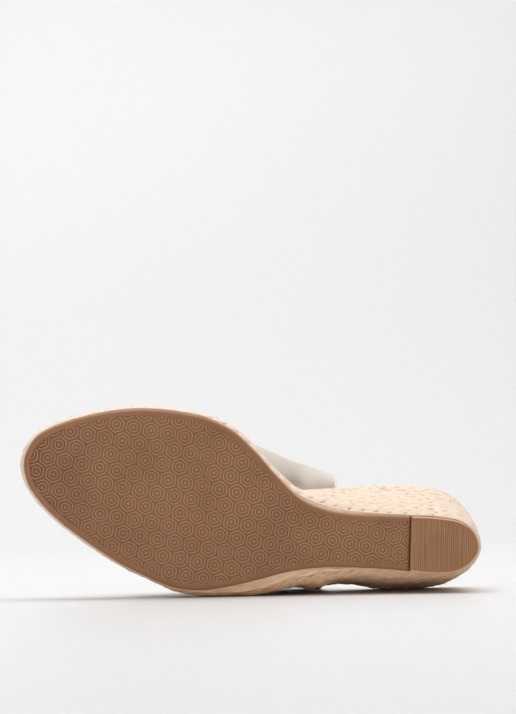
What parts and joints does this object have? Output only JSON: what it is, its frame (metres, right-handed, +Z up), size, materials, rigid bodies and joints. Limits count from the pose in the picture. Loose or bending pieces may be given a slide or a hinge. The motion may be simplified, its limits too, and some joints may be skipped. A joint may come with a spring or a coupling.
{
  "type": "wedge shoe",
  "caption": "Open-toe wedge mule with a braided jute wedge and platform, a wide leather band over the foot, a rubber outsole and a ribbed heel lift, lying on its outer side.",
  "frame": {"origin": "centre of the bounding box's bottom, on the floor that the shoe lies on", "axes": "+X towards the heel, -Y out of the tread, +Y from the sole towards the foot, +Z up, out of the shoe's inner side; the shoe lies on its outer side, toe raised about 11 degrees"},
  "size_m": [0.2432, 0.1116, 0.0984],
  "materials": {
    "rubber": "matt moulded tan-brown rubber",
    "jute": "natural braided jute, fibrous and matt",
    "insole_leather": "smooth lining leather, soft sheen",
    "upper_leather": "smooth bone-coloured leather, soft sheen"
  },
  "bodies": {
    "root": {"outsole": "rubber", "heel_lift": "rubber", "wedge": "jute", "platform": "jute", "insole": "insole_leather", "upper": "upper_leather"}
  },
  "joints": []
}
